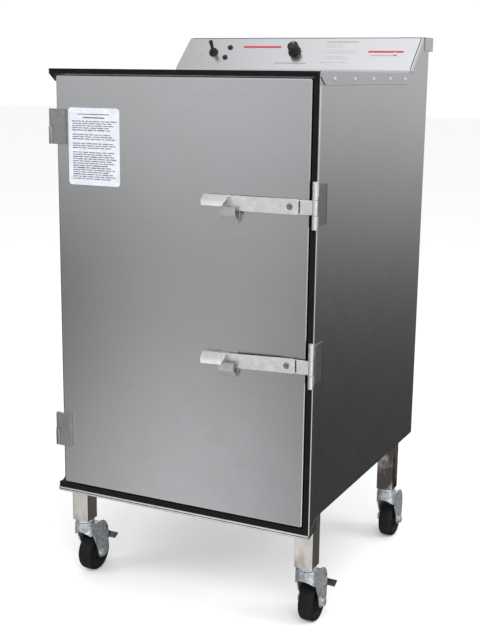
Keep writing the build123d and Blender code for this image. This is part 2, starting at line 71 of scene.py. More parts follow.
# ---- shader helpers -----------------------------------------------------------------------------------
class Material:
    """A Principled material with short calls for the node patterns used below."""

    def __init__(self, name, color, metallic=0.0, roughness=0.5, **sockets):
        self.mat = bpy.data.materials.new(name)
        self.mat.use_nodes = True
        self.tree = self.mat.node_tree
        self.shader = self.tree.nodes["Principled BSDF"]
        self.shader.inputs["Base Color"].default_value = (*color, 1)
        self.shader.inputs["Metallic"].default_value = metallic
        self.shader.inputs["Roughness"].default_value = roughness
        for key, value in sockets.items():
            self.shader.inputs[key.replace("_", " ")].default_value = value
        self.coords = self.tree.nodes.new("ShaderNodeTexCoord").outputs["Object"]
        self.normal = None

    def node(self, kind, **settings):
        made = self.tree.nodes.new("ShaderNode" + kind)
        for key, value in settings.items():
            if key in made.inputs:
                made.inputs[key].default_value = value
            else:
                setattr(made, key, value)
        return made

    def link(self, a, b):
        self.tree.links.new(a, b)

    def noise(self, scale, stretch=(1, 1, 1), detail=3.0, rough=0.5):
        """Noise in the row frame; a small stretch along an axis draws it out along that axis."""
        mapping = self.node("Mapping")
        mapping.inputs["Scale"].default_value = stretch
        self.link(self.coords, mapping.inputs["Vector"])
        noise = self.node("TexNoise", Scale=scale, Detail=detail, Roughness=rough)
        self.link(mapping.outputs["Vector"], noise.inputs["Vector"])
        return noise.outputs["Fac"]

    def ramp(self, fac, low, high, a=0.3, b=0.7):
        """A colour or grey that goes from low to high as fac goes from a to b."""
        ramp = self.node("ValToRGB")
        ramp.color_ramp.elements[0].position = a
        ramp.color_ramp.elements[1].position = b
        for element, value in zip(ramp.color_ramp.elements, (low, high)):
            rgb = value if isinstance(value, (tuple, list)) else (value, value, value)
            element.color = (*rgb, 1)
        self.link(fac, ramp.inputs["Fac"])
        return ramp.outputs["Color"]

    def mix(self, fac, a, b, blend="MIX"):
        mix = self.node("Mix", data_type="RGBA", blend_type=blend)
        for socket, value in ((mix.inputs["Factor"], fac), (mix.inputs[6], a), (mix.inputs[7], b)):
            if isinstance(value, bpy.types.NodeSocket):
                self.link(value, socket)
            elif isinstance(value, (tuple, list)):
                socket.default_value = (*value, 1)
            else:
                socket.default_value = value
        return mix.outputs[2]

    def color(self, output):
        self.link(output, self.shader.inputs["Base Color"])

    def roughness(self, output):
        self.link(output, self.shader.inputs["Roughness"])

    def bump(self, height, strength, distance=0.001):
        bump = self.node("Bump", Strength=strength, Distance=distance)
        self.link(height, bump.inputs["Height"])
        if self.normal:
            self.link(self.normal, bump.inputs["Normal"])
        self.normal = bump.outputs["Normal"]
        self.link(self.normal, self.shader.inputs["Normal"])


def brushed_steel(name, tone, rough, along, grain=1.0, smudge=0.4):
    """Stainless sheet with a fine grain along one axis, broad tone shifts and faint handling marks."""
    m = Material(name, (tone, tone, tone), metallic=1.0, roughness=rough)
    squeeze = {"x": (0.012, 1, 1), "y": (1, 0.012, 1), "z": (1, 1, 0.012)}[along]
    lines = m.noise(900, squeeze, detail=2.0)
    broad_lines = m.noise(140, squeeze, detail=3.0)
    cloud = m.noise(3.1, detail=4.0, rough=0.55)
    marks = m.noise(22, detail=5.0, rough=0.7)
    cool = (tone * 0.98, tone * 0.995, tone * 1.03)
    warm = (tone * 0.93, tone * 0.935, tone * 0.955)
    base = m.mix(m.ramp(cloud, 0.3, 1.0, 0.35, 0.65), warm, cool)
    base = m.mix(0.045 * grain, base, m.ramp(broad_lines, tone * 0.7, min(1.0, tone * 1.25)))
    m.color(base)
    grade = m.ramp(marks, rough - 0.03 * smudge, rough + 0.06 * smudge, 0.35, 0.75)
    m.roughness(m.mix(0.12, grade, m.ramp(lines, rough - 0.05, rough + 0.06)))
    m.bump(lines, 0.006 * grain, 0.0004)
    m.bump(cloud, 0.006, 0.004)
    return m.mat


def polished_steel(name, tone, rough, metallic=1.0):
    """Bright handled steel: fine wear scratches in all directions and soft dull patches."""
    m = Material(name, (tone, tone, tone), metallic=metallic, roughness=rough)
    patches = m.noise(60, detail=4.0)
    hair = m.noise(700, (1, 1, 0.15), detail=2.0)
    m.color(m.mix(m.ramp(patches, 0.0, 1.0, 0.35, 0.7), (tone, tone * 0.99, tone * 0.97), (tone * 0.86,) * 3))
    m.roughness(m.ramp(patches, rough - 0.04, rough + 0.08, 0.3, 0.75))
    m.bump(hair, 0.015, 0.0003)
    return m.mat


def stained_steel_shaded_behind(name, rough):
    """Square tube with a warm cast in soft patches, and painted shade on the pair behind: a darker colour mixed in
    by y position stands for the shade over the rear legs.
    """
    m = Material(name, (0.8, 0.76, 0.7), metallic=1.0, roughness=rough)
    split = m.node("SeparateXYZ")
    m.link(m.coords, split.inputs["Vector"])
    depth = m.node("MapRange")
    depth.inputs["From Min"].default_value = -0.1
    depth.inputs["From Max"].default_value = 0.2
    m.link(split.outputs["Y"], depth.inputs["Value"])
    patches = m.noise(26, (1, 1, 0.6), detail=3.0)
    front = m.mix(m.ramp(patches, 0.0, 1.0, 0.4, 0.65), (0.98, 0.94, 0.87), (0.62, 0.56, 0.49))
    # painted shade: behind is a much darker copy of the leg colour, for the rear pair
    behind = m.mix(m.ramp(patches, 0.0, 1.0, 0.42, 0.56), (0.78, 0.74, 0.68), (0.14, 0.12, 0.11))
    # painted shade: the darker copy is mixed in by y position, so the legs behind come out shaded
    m.color(m.mix(depth.outputs["Result"], front, behind))
    m.roughness(m.ramp(patches, rough - 0.04, rough + 0.08))
    m.bump(m.noise(500, (1, 1, 0.1), detail=2.0), 0.02, 0.0003)
    return m.mat


def zinc_plate():
    m = Material("zinc_plate", (0.62, 0.66, 0.69), metallic=0.8, roughness=0.34)
    spangle = m.node("TexVoronoi", Scale=240.0)
    m.link(m.coords, spangle.inputs["Vector"])
    tone = m.ramp(spangle.outputs["Color"], (0.50, 0.54, 0.57), (0.80, 0.84, 0.87), 0.2, 0.8)
    stains = m.noise(45, detail=5.0, rough=0.65)
    m.color(m.mix(m.ramp(stains, 0.0, 0.7, 0.5, 0.68), tone, (0.20, 0.20, 0.19)))
    m.roughness(m.ramp(stains, 0.28, 0.5))
    m.bump(m.noise(350, detail=3.0), 0.12, 0.0004)
    return m.mat


def rubber(name, tone, rough, dust=0.0):
    m = Material(name, (tone, tone, tone), roughness=rough, Specular_IOR_Level=0.22)
    fine = m.noise(500, detail=4.0, rough=0.6)
    broad = m.noise(28, detail=4.0)
    base = m.mix(m.ramp(broad, 0.0, 1.0, 0.4, 0.7), (tone,) * 3, (tone * 1.7, tone * 1.65, tone * 1.6))
    m.color(m.mix(m.ramp(fine, 0.0, dust, 0.55, 0.8), base, (0.2, 0.19, 0.18)))
    m.roughness(m.ramp(broad, rough - 0.08, rough + 0.1))
    m.bump(fine, 0.25, 0.0006)
    return m.mat


def moulded_plastic(name, tone, rough):
    m = Material(name, (tone, tone, tone), roughness=rough, Specular_IOR_Level=0.3)
    grain = m.noise(1400, detail=2.0)
    worn = m.noise(120, detail=4.0)
    m.color(m.mix(m.ramp(worn, 0.0, 1.0, 0.45, 0.8), (tone,) * 3, (tone * 2.2,) * 3))
    m.roughness(m.ramp(worn, rough - 0.06, rough + 0.12))
    m.bump(grain, 0.15, 0.0003)
    return m.mat


def enamel(name, color):
    """Screen-printed ink: a little uneven in depth, with a fine tooth."""
    m = Material(name, color, roughness=0.4)
    deeper = tuple(c * 0.7 for c in color)
    m.color(m.mix(m.ramp(m.noise(400, detail=3.0), 0.0, 1.0, 0.35, 0.65), color, deeper))
    m.bump(m.noise(1500, detail=2.0), 0.1, 0.0002)
    return m.mat


def label_sheet():
    """Cool white film with a faint mottle and a soft sheen."""
    m = Material("label_film", (0.86, 0.87, 0.92), roughness=0.42)
    m.color(m.ramp(m.noise(70, detail=4.0), (0.50, 0.515, 0.56), (0.57, 0.58, 0.62), 0.35, 0.65))
    m.roughness(m.ramp(m.noise(160, detail=3.0), 0.36, 0.5))
    m.bump(m.noise(900, detail=2.0), 0.08, 0.0002)
    return m.mat


def lamp_lens():
    m = Material("lamp_lens", (0.16, 0.012, 0.012), roughness=0.12, Transmission_Weight=0.35, IOR=1.49)
    ribs = m.noise(300, detail=1.0)
    m.color(m.ramp(ribs, (0.07, 0.006, 0.006), (0.16, 0.02, 0.02)))
    m.bump(ribs, 0.1, 0.0004)
    return m.mat


def mineral_wool():
    m = Material("mineral_wool", (0.62, 0.58, 0.36), roughness=0.95)
    fibre = m.noise(220, (1, 1, 4), detail=6.0, rough=0.7)
    m.color(m.ramp(fibre, (0.46, 0.42, 0.24), (0.74, 0.70, 0.48)))
    m.bump(fibre, 0.8, 0.003)
    return m.mat


def element_sheath():
    """Heat-darkened steel tube, browned in bands."""
    m = Material("element_sheath", (0.12, 0.11, 0.10), metallic=0.8, roughness=0.5)
    heat = m.noise(14, detail=4.0)
    m.color(m.ramp(heat, (0.07, 0.065, 0.06), (0.24, 0.17, 0.12)))
    m.roughness(m.ramp(m.noise(90, detail=4.0), 0.4, 0.65))
    m.bump(m.noise(600, detail=3.0), 0.2, 0.0004)
    return m.mat


steel_front = brushed_steel("steel_front", 0.60, 0.26, "x")
steel_side = brushed_steel("steel_side", 0.55, 0.26, "z")
steel_roof = brushed_steel("steel_roof", 0.60, 0.32, "x")
steel_inside = brushed_steel("steel_inside", 0.62, 0.40, "z", smudge=1.6)
steel_fascia = brushed_steel("steel_fascia", 0.78, 0.26, "x", grain=0.7)
steel_bright = polished_steel("steel_bright", 0.90, 0.26, 0.86)
steel_keeper = polished_steel("steel_keeper", 0.62, 0.30, 0.9)
steel_rivet = polished_steel("steel_rivet", 0.34, 0.24)
steel_leaf = polished_steel("steel_leaf", 0.34, 0.42)
# brighter and glossier than the sheet it is rolled from: real polish plus a painted highlight along the beads
steel_bead_highlight = polished_steel("steel_bead_highlight", 0.85, 0.16)
# the legs' steel, with painted shade darkening the rear pair
steel_leg_shaded_behind = stained_steel_shaded_behind("steel_leg_shaded_behind", 0.30)
steel_hinge = polished_steel("steel_hinge", 0.50, 0.30)
print_white = moulded_plastic("print_white", 0.80, 0.45)
print_grey = moulded_plastic("print_grey", 0.07, 0.5)
print_pale = moulded_plastic("print_pale", 0.30, 0.5)
print_red = enamel("print_red", (0.50, 0.03, 0.05))
label_film = label_sheet()
label_dark = moulded_plastic("label_dark", 0.05, 0.5)
label_grey = enamel("label_grey", (0.14, 0.15, 0.20))
wire_chrome = polished_steel("wire_chrome", 0.78, 0.16)
zinc = zinc_plate()
pedal_steel = polished_steel("pedal_steel", 0.22, 0.34)
# painted shadow: near-black material for thin strips that stand for shadow gaps, not for real parts
painted_shadow_black = polished_steel("painted_shadow_black", 0.05, 0.5)
seal_black = rubber("seal_black", 0.0045, 0.62)
tyre_black = rubber("tyre_black", 0.0055, 0.56, dust=0.04)
knob_black = moulded_plastic("knob_black", 0.012, 0.34)
block_black = moulded_plastic("block_black", 0.02, 0.5)
lens_red = lamp_lens()
wool = mineral_wool()
sheath = element_sheath()


# ---- materials on the CAD nodes -----------------------------------------------------------------------
def dress(material, *names):
    for name in names:
        mesh = nodes[name].data
        mesh.materials.clear()
        mesh.materials.append(material)


dress(steel_front, "door_outer_panel", "sill", "front_frame")
dress(steel_fascia, "fascia_screws")
dress(steel_side, "left_side_panel", "right_side_panel", "rear_panel", "control_housing", "housing_rear_cap")
dress(steel_roof, "roof_panel", "bottom_panel")
dress(steel_inside, "inner_liner", "door_inner_panel", "right_rack_support", "left_rack_support")
dress(steel_inside, "water_pan", "drain_tube", "thermostat_bulb")
dress(steel_fascia, "control_fascia")
dress(steel_bright, "roof_rivets", "latch_pins")
dress(label_film, "door_label")
dress(steel_hinge, "hinge_door_leaves", "hinge_cabinet_leaves")
for level in ("upper", "lower"):
    for piece in ("bracket", "link", "strap", "keeper"):
        dress(steel_bright, level + "_latch_" + piece)
dress(steel_leg_shaded_behind, "legs")
dress(wire_chrome, "lower_wire_shelf", "middle_wire_shelf", "upper_wire_shelf")
dress(seal_black, "frame_seal", "door_gasket")
dress(knob_black, "thermostat_knob", "toggle_lever", "switch_body", "lamp_bezels")
dress(block_black, "thermostat_body", "terminal_block", "power_inlet")
dress(lens_red, "lamp_lenses")
dress(wool, "wall_insulation", "door_insulation")
dress(sheath, "heating_element")
dress(zinc, "caster_stems")
dress(pedal_steel, "front_left_brake_pedal", "front_right_brake_pedal")
corners = [end + "_" + side for end in ("front", "rear") for side in ("left", "right")]
for corner in corners:
    dress(zinc, corner + "_fork")
    dress(tyre_black, corner + "_wheel")


# ---- mesh helpers -------------------------------------------------------------------------------------
joints = {joint["name"]: joint for joint in frame["joints"]}
body_of_node = {n: b for b, ns in frame["record"]["behaviour"]["bodies"].items() for n in ns}
MM = 0.001


def add(name, mesh, material, *stands_for, body=None):
    """Links a finished mesh as a piece that rides with its body, that of the nodes it replaces, and hides those
    nodes.
    """
    obj = bpy.data.objects.new(name, mesh)
    bpy.context.scene.collection.objects.link(obj)
    mesh.materials.append(material)
    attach(obj, body or body_of_node[stands_for[0]])
    if stands_for:
        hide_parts(*stands_for)
    return obj


def smoothed(mesh, degrees=35):
    mesh.shade_smooth()
    mesh.set_sharp_from_angle(angle=math.radians(degrees))
    return mesh


def bevelled(obj, width, segments=2, degrees=40):
    bevel = obj.modifiers.new("edges", "BEVEL")
    bevel.limit_method = "ANGLE"
    bevel.angle_limit = math.radians(degrees)
    bevel.width = width
    bevel.segments = segments
    bevel.harden_normals = True
    return obj


def mesh_of(bm, name, degrees=35):
    mesh = bpy.data.meshes.new(name)
    bmesh.ops.recalc_face_normals(bm, faces=bm.faces)
    bm.to_mesh(mesh)
    bm.free()
    return smoothed(mesh, degrees)


def formed(node, material, width=0.5 * MM, segments=2, merge=True):
    """The node's own shape with its sharp edges broken, as folded and deburred sheet has them."""
    bm = bmesh.new()
    bm.from_mesh(nodes[node].data)
    bmesh.ops.remove_doubles(bm, verts=bm.verts, dist=1e-5)
    if merge:
        bmesh.ops.dissolve_limit(bm, angle_limit=math.radians(0.6), verts=bm.verts, edges=bm.edges)
    return bevelled(add(node + "_formed", mesh_of(bm, node + "_formed"), material, node), width, segments)


def rounded(points, radius, steps=5):
    """An open 2-D path with its inner corners turned into arcs."""
    path = [Vector(points[0])]
    for a, b, c in zip(points, points[1:], points[2:]):
        a, b, c = Vector(a), Vector(b), Vector(c)
        u, v = (a - b).normalized(), (c - b).normalized()
        half = math.acos(max(-1.0, min(1.0, u.dot(v)))) / 2
        reach = min(radius / math.tan(half), 0.45 * (a - b).length, 0.45 * (c - b).length)
        middle = b + (u + v).normalized() * (reach / math.cos(half))
        first, last = b + u * reach - middle, b + v * reach - middle
        turn = math.atan2(first.x * last.y - first.y * last.x, first.dot(last))
        for i in range(steps + 1):
            path.append(middle + Matrix.Rotation(turn * i / steps, 2) @ first)
    path.append(Vector(points[-1]))
    return path


def side_normals(path):
    normals = []
    for i in range(len(path)):
        along = (path[min(i + 1, len(path) - 1)] - path[max(i - 1, 0)]).normalized()
        normals.append(Vector((-along.y, along.x)))
    return normals


def bent_sheet(bm, path, thickness, spans, place):
    """A strip of sheet that follows a 2-D path; spans gives its two ends at each point of the path.

    place(a, b, c) turns path coordinates a, b and the span coordinate c into a point."""
    normals = side_normals(path)
    rows = []
    for point, normal, span in zip(path, normals, spans):
        row = []
        for offset in (thickness / 2, -thickness / 2):
            q = point + normal * offset
            row += [bm.verts.new(place(q.x, q.y, end)) for end in span]
        rows.append(row)
    for a, b in zip(rows, rows[1:]):
        bm.faces.new((a[0], a[1], b[1], b[0]))
        bm.faces.new((a[2], b[2], b[3], a[3]))
        bm.faces.new((a[0], b[0], b[2], a[2]))
        bm.faces.new((a[1], a[3], b[3], b[1]))
    for row in (rows[0], rows[-1]):
        bm.faces.new((row[0], row[1], row[3], row[2]))


def revolve(bm, profile, place, steps=48, radius_at=None):
    """Turns (radius, height) points round an axis; place(x, y, h) puts each one in the row frame."""
    rings = []
    for r, h in profile:
        ring = []
        for i in range(steps):
            angle = 2 * math.pi * i / steps
            rr = radius_at(r, h, angle) if radius_at else r
            ring.append(bm.verts.new(place(rr * math.cos(angle), rr * math.sin(angle), h)))
        rings.append(ring)
    for a, b in zip(rings, rings[1:]):
        for i in range(steps):
            j = (i + 1) % steps
            bm.faces.new((a[i], a[j], b[j], b[i]))
    for ring in (rings[0], rings[-1]):
        bm.faces.new(ring)


def extruded(bm, section, ends, place):
    """A closed 2-D section carried straight from one end to the other; place(a, b, end) gives each point."""
    rings = [[bm.verts.new(place(a, b, end)) for a, b in section] for end in ends]
    for i in range(len(section)):
        j = (i + 1) % len(section)
        bm.faces.new((rings[0][i], rings[0][j], rings[1][j], rings[1][i]))
    bm.faces.new(rings[0])
    bm.faces.new(rings[1])


def half_round(width, height, steps=8):
    """Points of a flat-backed bead: across from -width/2 to width/2, standing height high."""
    arc = [math.pi * i / steps for i in range(steps + 1)]
    return [(-width / 2 * math.cos(t), height * math.sin(t)) for t in arc]


def slab(bm, low, high):
    xs, ys, zs = ((low[i], high[i]) for i in range(3))
    corner = [Vector((x, y, z)) for x in xs for y in ys for z in zs]
    v = [bm.verts.new(c) for c in corner]
    for face in ((0, 1, 3, 2), (4, 6, 7, 5), (0, 4, 5, 1), (2, 3, 7, 6), (0, 2, 6, 4), (1, 5, 7, 3)):
        bm.faces.new([v[i] for i in face])


# ---- sheet metal with broken edges --------------------------------------------------------------------
for name in ("door_outer_panel", "sill", "front_frame"):
    formed(name, steel_front, 0.4 * MM)
for name in ("left_side_panel", "right_side_panel", "rear_panel", "control_housing", "housing_rear_cap"):
    formed(name, steel_side)
for name in ("roof_panel", "bottom_panel"):
    formed(name, steel_roof)
formed("control_fascia", steel_fascia)
for name in ("right_rack_support", "left_rack_support", "door_inner_panel"):
    formed(name, steel_inside, 0.4 * MM)
formed("inner_liner", steel_inside, 0.3 * MM)
formed("water_pan", steel_inside, 0.4 * MM)
formed("legs", steel_leg_shaded_behind, 2.0 * MM, 3)
formed("hinge_door_leaves", steel_hinge, 0.6 * MM, merge=False)
formed("hinge_cabinet_leaves", steel_hinge, 0.4 * MM, merge=False)


# ---- latch straps and keepers -------------------------------------------------------------------------
def latch_strap(level):
    """Flat strap with a bent finger hood at its end, hung on its rivet at the strap's own small droop."""
    droop = math.radians({"upper": 0.0, "lower": 2.0}[level])
    pivot = Vector(joints[level + "_latch_lift"]["pos_m"])
    back_y = pivot.y + 1.2 * MM
    t = 2.4 * MM
    half, right, left = 15 * MM, 18 * MM, -135 * MM

    def hung(x, y, z):
        return Vector((pivot.x + x * math.cos(droop) - z * math.sin(droop), y,
                       pivot.z + x * math.sin(droop) + z * math.cos(droop)))

    bm = bmesh.new()
    outline = [(left, half - 1 * MM), (left, -half), (right - 4 * MM, -half)]
    outline += [(right - 4 * MM + 4 * MM * math.sin(a), -half + 4 * MM - 4 * MM * math.cos(a))
                for a in (math.pi / 8, math.pi / 4, math.pi * 3 / 8, math.pi / 2)]
    outline += [(right - 4 * MM + 4 * MM * math.cos(a), half - 4 * MM + 4 * MM * math.sin(a))
                for a in (0, math.pi / 8, math.pi / 4, math.pi * 3 / 8, math.pi / 2)]
    faces = []
    for y in (back_y - t, back_y):
        faces.append([bm.verts.new(hung(x, y, z)) for x, z in outline])
        bm.faces.new(faces[-1])
    for i in range(len(outline)):
        j = (i + 1) % len(outline)
        bm.faces.new((faces[0][i], faces[0][j], faces[1][j], faces[1][i]))
    hood = rounded(
        [(back_y - t / 2, half - 1.6 * MM), (back_y - 4 * MM, half - 0.8 * MM),
         (back_y - 19.5 * MM, 2 * MM), (back_y - 22.3 * MM, -6 * MM)], 14 * MM, 8)
    n = len(hood)
    spans = []
    for i in range(n):
        s = i / (n - 1)
        spans.append(((-186.5 + 5 * s * s) * MM, (-128 - 7 * s) * MM))
    bent_sheet(bm, hood, t, spans, lambda y, z, x: hung(x, y, z))
    mesh = mesh_of(bm, level + "_latch_strap_formed")
    bevelled(add(level + "_strap", mesh, steel_bright, level + "_latch_strap"), 0.5 * MM, 2)
    # Painted shadow: a near-black strip just past the strap's end stands for the shadow gap between strap and
    # link.
    bm = bmesh.new()
    x0, x1, reach = right + 0.1 * MM, right + 1.5 * MM, half - 3 * MM
    end = [(x0, -reach), (x1, -reach), (x1, reach), (x0, reach)]
    extruded(bm, end, (back_y - 1.9 * MM, back_y + 0.1 * MM), lambda x, z, y: hung(x, y, z))
    end_shadow_strip = add(level + "_strap_end_shadow", mesh_of(bm, level + "_strap_end_shadow"), painted_shadow_black, body=level + "_strap")


def latch_keeper(level):
    """Hook of bent sheet: a foot on the door, a slope out to a ridge, and an upright lip."""
    low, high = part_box(level + "_latch_keeper")
    t = 2.0 * MM
    y_door = high.y - t / 2
    path = rounded(
        [(y_door, high.z), (y_door, low.z + 7 * MM), (y_door - 1 * MM, low.z + 2.2 * MM),
         (low.y + 2.4 * MM, high.z - 37 * MM), (low.y + t / 2, high.z - 21 * MM)], 3.2 * MM, 5)
    bm = bmesh.new()
    spans = [(low.x, high.x)] * len(path)
    bent_sheet(bm, path, t, spans, lambda y, z, x: Vector((x, y, z)))
    for x in (low.x + 9 * MM, high.x - 9 * MM):
        z = high.z - 9 * MM
        head = [(0, 3.3 * MM), (2.2 * MM, 3.1 * MM), (3.4 * MM, 2.2 * MM), (3.6 * MM, 1.9 * MM)]
        revolve(bm, head, lambda a, b, h, x=x, z=z: Vector((x + a, high.y - h, z + b)), steps=20)
    mesh = mesh_of(bm, level + "_keeper")
    bevelled(add(level + "_keeper", mesh, steel_keeper, level + "_latch_keeper"), 0.35 * MM, 2)


def knuckle(bm, pin, r, z0, z1):
    """A rolled knuckle on an upright pin, with its ends chamfered and bored."""
    bore, chamfer = 2.7 * MM, 0.6 * MM
    profile = [(bore, z0), (r - chamfer, z0), (r, z0 + chamfer), (r, z1 - chamfer), (r - chamfer, z1),
               (bore, z1)]
    revolve(bm, profile, lambda a, b, h: Vector((pin.x + a, pin.y + b, h)), steps=40)


def latch_bracket(level):
    """Side leaf with its two rolled knuckles and the fold that joins them."""
    low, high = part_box(level + "_latch_bracket")
    link_low, link_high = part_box(level + "_latch_link")
    pin = Vector(joints[level + "_latch_swing"]["pos_m"])
    r = 5.5 * MM
    middle = (low.z + high.z) / 2
    x0, x1 = side_high.x, side_high.x + 2.2 * MM
    bm = bmesh.new()
    slab(bm, (x0, pin.y + 4 * MM, middle - 40 * MM), (x1, high.y, middle + 40 * MM))
    slab(bm, (x0, pin.y + 14 * MM, middle - 38 * MM), (x1 + 0.7 * MM, pin.y + 16 * MM, middle + 38 * MM))
    leaf = add(level + "_leaf", mesh_of(bm, level + "_leaf"), steel_leaf, body="cabinet")
    bevelled(leaf, 0.6 * MM, 2)
    # Painted shadow: two thin near-black beads on the leaf stand for the shade in its creases.
    bm = bmesh.new()
    for y, width in ((pin.y + 6 * MM, 1.4 * MM), (high.y - 1.6 * MM, 1.2 * MM)):
        bead = half_round(width, 0.5 * MM)
        extruded(bm, bead, (middle - 38.5 * MM, middle + 38.5 * MM),
                 lambda a, b, z, y=y: Vector((x1 + b, y + a, z)))
    crease = add(level + "_leaf_shadow_line", mesh_of(bm, level + "_leaf_shadow_line", 60), painted_shadow_black, body="cabinet")
    bm = bmesh.new()
    for z0, z1 in ((low.z, link_low.z - 0.3 * MM), (link_high.z + 0.3 * MM, high.z)):
        knuckle(bm, pin, r, z0, z1)
        top = z1 - 1 * MM if z0 == low.z else z1 - 6 * MM
        slab(bm, (x1 - 2.0 * MM, pin.y, z0 + 6 * MM), (pin.x + r, pin.y + 5 * MM, top))
    mesh = mesh_of(bm, level + "_bracket")
    bevelled(add(level + "_bracket", mesh, steel_bright, level + "_latch_bracket"), 0.5 * MM, 2)


def latch_link(level):
    """Link plate rolled round the pin, and the dimpled rivet that carries the strap."""
    low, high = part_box(level + "_latch_link")
    pin = Vector(joints[level + "_latch_swing"]["pos_m"])
    rivet = Vector(joints[level + "_latch_lift"]["pos_m"])
    bm = bmesh.new()
    slab(bm, (low.x, pin.y - 0.3 * MM, low.z + 0.7 * MM),
         (pin.x - 1 * MM, pin.y + 2.2 * MM, high.z - 0.7 * MM))
    knuckle(bm, pin, 5.5 * MM, low.z, high.z)
    mesh = mesh_of(bm, level + "_link")
    bevelled(add(level + "_link", mesh, steel_bright, level + "_latch_link"), 0.4 * MM, 2)
    face = pin.y - 2.9 * MM
    bm = bmesh.new()
    head = [(2.9, -2.6), (2.9, 0.12), (6.2, 0.12), (6.5, 0.6), (6.1, 1.4), (4.8, 2.1), (3.6, 2.2), (2.8, 1.6),
            (2.2, 0.7), (0.2, 0.5)]
    revolve(bm, [(a * MM, b * MM) for a, b in head],
            lambda a, b, h: Vector((rivet.x + a, face - h, rivet.z + b)), steps=32)
    head = add(level + "_rivet", mesh_of(bm, level + "_rivet", 50), steel_rivet, body=level + "_link")


for level in ("upper", "lower"):
    latch_bracket(level)
    latch_link(level)
    latch_strap(level)
    latch_keeper(level)


# ---- seals --------------------------------------------------------------------------------------------
def swept_profile(bm, path, inward, profile, closed):
    """Carries a closed profile along points in a door-parallel plane; profile points are (inward, y)."""
    rings = []
    for point, direction in zip(path, inward):
        ring = []
        for n, y in profile:
            q = point + direction * n
            ring.append(bm.verts.new((q.x, y, q.y)))
        rings.append(ring)
    pairs = list(zip(rings, rings[1:])) + ([(rings[-1], rings[0])] if closed else [])
    k = len(profile)
    for a, b in pairs:
        for i in range(k):
            j = (i + 1) % k
            bm.faces.new((a[i], a[j], b[j], b[i]))
    if not closed:
        bm.faces.new(rings[0])
        bm.faces.new(rings[-1])


def corner_ring(x0, x1, z0, z1, radius, steps=6):
    """Points and inward directions round a rectangle with round corners."""
    points, inward = [], []
    middles = ((x1 - radius, z1 - radius, 0), (x0 + radius, z1 - radius, 90),
               (x0 + radius, z0 + radius, 180), (x1 - radius, z0 + radius, 270))
    for mx, mz, start in middles:
        for i in range(steps + 1):
            angle = math.radians(start + 90 * i / steps)
            out = Vector((math.cos(angle), math.sin(angle)))
            points.append(Vector((mx, mz)) + out * radius)
            inward.append(-out)
    return points, inward


def door_gasket():
    """A ribbed foot with a soft hollow bulb, mitred in one ring round the door's back."""
    low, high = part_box("door_gasket")
    bulb = []
    depth = high.y - low.y
    for i in range(9):
        angle = math.pi * i / 8
        bulb.append(((8 - 5 * math.cos(angle)) * MM, low.y + 1.2 * MM + (depth - 1.2 * MM) * math.sin(angle)))
    base = low.y + 1.2 * MM
    profile = [(1 * MM, low.y), (1 * MM, base)] + bulb + [(15 * MM, base), (15 * MM, low.y)]
    points, inward = corner_ring(low.x, high.x, low.z, high.z, 20 * MM)
    bm = bmesh.new()
    swept_profile(bm, points, inward, profile, closed=True)
    add("door_gasket_ring", mesh_of(bm, "door_gasket_ring"), seal_black, "door_gasket")


def ribbed_strip(bm, across, ends, y0, y1, upright):
    """One length of trim: three soft ribs on its face; it runs up the door or across it."""
    width = across[1] - across[0]
    section = []
    for i in range(19):
        crease = abs(math.sin(math.pi * i / 6)) ** 0.45
        section.append((across[0] + width * i / 18, y0 + 1.2 * MM * (1 - crease)))
    section += [(across[1], y1), (across[0], y1)]
    extruded(bm, section, ends, lambda a, y, end: Vector((a, y, end) if upright else (end, y, a)))


def frame_trim():
    """The black trim in the gap round the door, with a thin cap on the roof sheet's front edge."""
    low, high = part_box("frame_seal")
    inner = side_high.x - 1.6 * MM
    left = 2 * centre_x - inner
    under_roof = high.z - 1.5 * MM
    bm = bmesh.new()
    ribbed_strip(bm, (door_high.x + 2.4 * MM, inner), (low.z, under_roof), low.y, high.y, True)
    ribbed_strip(bm, (door_high.z + 2.5 * MM, under_roof), (left, inner), low.y, high.y, False)
    ribbed_strip(bm, (low.z, door_low.z - 2.5 * MM), (left, inner), low.y, high.y, False)
    cap = [(low.y + 0.5 * MM, under_roof), (low.y, under_roof + 0.5 * MM), (low.y, high.z - 0.6 * MM),
           (low.y + 0.6 * MM, high.z), (low.y + 2.4 * MM, high.z), (low.y + 2.4 * MM, under_roof)]
    extruded(bm, cap, (low.x, high.x), lambda y, z, x: Vector((x, y, z)))
    add("frame_trim", mesh_of(bm, "frame_trim", 60), seal_black, "frame_seal")


def sheet_beads():
    """Rolled beads, brightened with a painted highlight: two along the sill's lip with a near-black strip between
    them as painted shadow, one up the side sheet's edge.
    """
    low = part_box("sill")[0]
    bm = bmesh.new()
    x0, x1 = 2 * centre_x - side_low.x + 1 * MM, side_high.x - 1 * MM
    for up in (2.2, 6.9):
        z = low.z + up * MM
        extruded(bm, half_round(3.4 * MM, 1.0 * MM), (x0, x1),
                 lambda a, b, x, z=z: Vector((x, low.y - b, z + a)))
    side = Vector((side_high.x, side_low.y + 3.2 * MM, 0))
    extruded(bm, half_round(6.2 * MM, 1.3 * MM), (side_low.z + 1 * MM, roof_z - 27 * MM),
             lambda a, b, z: Vector((side.x + b, side.y + a, z)))
    beads = add("sheet_beads", mesh_of(bm, "sheet_beads", 60), steel_bead_highlight, body="cabinet")
    # Painted shadow: a near-black strip between the two sill beads stands for the shade in the crease.
    bm = bmesh.new()
    inner, outer, z0, z1 = -0.1 * MM, -0.35 * MM, low.z + 3.9 * MM, low.z + 5.2 * MM
    crease = [(inner, z0), (outer, z0), (outer, z1), (inner, z1)]
    extruded(bm, crease, (x0, x1), lambda a, b, x: Vector((x, low.y + a, b)))
    sill_shadow_strip = add("sill_shadow_line", mesh_of(bm, "sill_shadow_line"), painted_shadow_black, body="cabinet")


door_gasket()
frame_trim()
sheet_beads()


